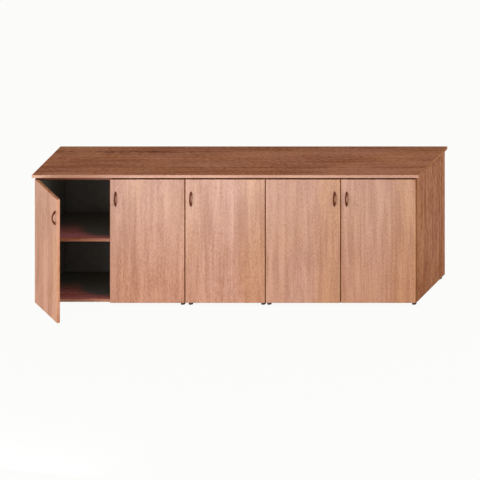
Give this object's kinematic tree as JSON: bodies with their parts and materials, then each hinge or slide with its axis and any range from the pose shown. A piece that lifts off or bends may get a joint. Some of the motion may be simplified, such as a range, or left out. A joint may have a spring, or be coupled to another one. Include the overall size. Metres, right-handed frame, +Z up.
{
  "type": "office credenza",
  "caption": "Low office credenza: cabinets side by side under one worktop, with hinged doors, bow handles, adjustable shelves and small round feet.",
  "frame": {"origin": "centre of the bottom of the part's box as it stands at rest, with the first door open as shown; it lies on the floor under the middle of the run, a little in front of the middle of the cabinets", "axes": "+Z up, +X along the run to the right of someone facing the doors, +Y from the doors to the back"},
  "size_m": [2.31, 0.852, 0.784],
  "materials": {
    "front_board": "satin wood-grain laminate, pinkish tan",
    "carcass_board": "satin wood-grain laminate, a shade darker",
    "inner_board": "dark melamine with a wood-grain front edge",
    "back_board": "black coated hardboard",
    "handle": "dark reddish brown, satin",
    "foot": "black moulded plastic",
    "hinge_steel": "nickel-plated steel",
    "fitting_steel": "zinc-plated",
    "screw_steel": "zinc-plated"
  },
  "bodies": {
    "carcass": {"worktop": "carcass_board", "worktop_edging": "front_board", "left_cabinet_left_side": "carcass_board", "left_cabinet_right_side": "carcass_board", "left_cabinet_bottom": "inner_board", "left_cabinet_top_rails": "inner_board", "left_cabinet_back": "back_board", "left_cabinet_shelf": "inner_board", "middle_cabinet_left_side": "carcass_board", "middle_cabinet_right_side": "carcass_board", "middle_cabinet_bottom": "inner_board", "middle_cabinet_top_rails": "inner_board", "middle_cabinet_back": "back_board", "middle_cabinet_shelf": "inner_board", "right_cabinet_left_side": "carcass_board", "right_cabinet_right_side": "carcass_board", "right_cabinet_bottom": "inner_board", "right_cabinet_top_rails": "inner_board", "right_cabinet_back": "back_board", "right_cabinet_shelf": "inner_board", "feet": "foot", "cam_locks": "fitting_steel", "cam_bolts": "fitting_steel", "shelf_pins": "fitting_steel", "connector_bolts": "fitting_steel", "worktop_screws": "screw_steel", "hinge_arms": "hinge_steel", "hinge_plates": "hinge_steel", "hinge_screws": "screw_steel"},
    "door_1": {"door_1_panel": "front_board", "door_1_handle": "handle", "door_1_handle_screws": "screw_steel", "door_1_hinge_cups": "hinge_steel", "door_1_hinge_pins": "screw_steel", "door_1_cup_screws": "screw_steel"},
    "door_2": {"door_2_panel": "front_board", "door_2_handle": "handle", "door_2_handle_screws": "screw_steel", "door_2_hinge_cups": "hinge_steel", "door_2_hinge_pins": "screw_steel", "door_2_cup_screws": "screw_steel"},
    "door_3": {"door_3_panel": "front_board", "door_3_handle": "handle", "door_3_handle_screws": "screw_steel", "door_3_hinge_cups": "hinge_steel", "door_3_hinge_pins": "screw_steel", "door_3_cup_screws": "screw_steel"},
    "door_4": {"door_4_panel": "front_board", "door_4_handle": "handle", "door_4_handle_screws": "screw_steel", "door_4_hinge_cups": "hinge_steel", "door_4_hinge_pins": "screw_steel", "door_4_cup_screws": "screw_steel"},
    "door_5": {"door_5_panel": "front_board", "door_5_handle": "handle", "door_5_handle_screws": "screw_steel", "door_5_hinge_cups": "hinge_steel", "door_5_hinge_pins": "screw_steel", "door_5_cup_screws": "screw_steel"}
  },
  "joints": [
    {"name": "door_1_hinge", "type": "hinge", "parent": "carcass", "child": "door_1", "pos_m": [-1.129, -0.06664, 0.12], "axis": [0, 0, -1], "range_deg": [-54.6, 40.4]},
    {"name": "door_2_hinge", "type": "hinge", "parent": "carcass", "child": "door_2", "pos_m": [-0.251, -0.06664, 0.12], "axis": [0, 0, 1], "range_deg": [0, 95]},
    {"name": "door_3_hinge", "type": "hinge", "parent": "carcass", "child": "door_3", "pos_m": [0.229, -0.06664, 0.12], "axis": [0, 0, 1], "range_deg": [0, 86]},
    {"name": "door_4_hinge", "type": "hinge", "parent": "carcass", "child": "door_4", "pos_m": [0.251, -0.06664, 0.12], "axis": [0, 0, -1], "range_deg": [0, 86]},
    {"name": "door_5_hinge", "type": "hinge", "parent": "carcass", "child": "door_5", "pos_m": [1.129, -0.06664, 0.12], "axis": [0, 0, 1], "range_deg": [0, 95]}
  ]
}
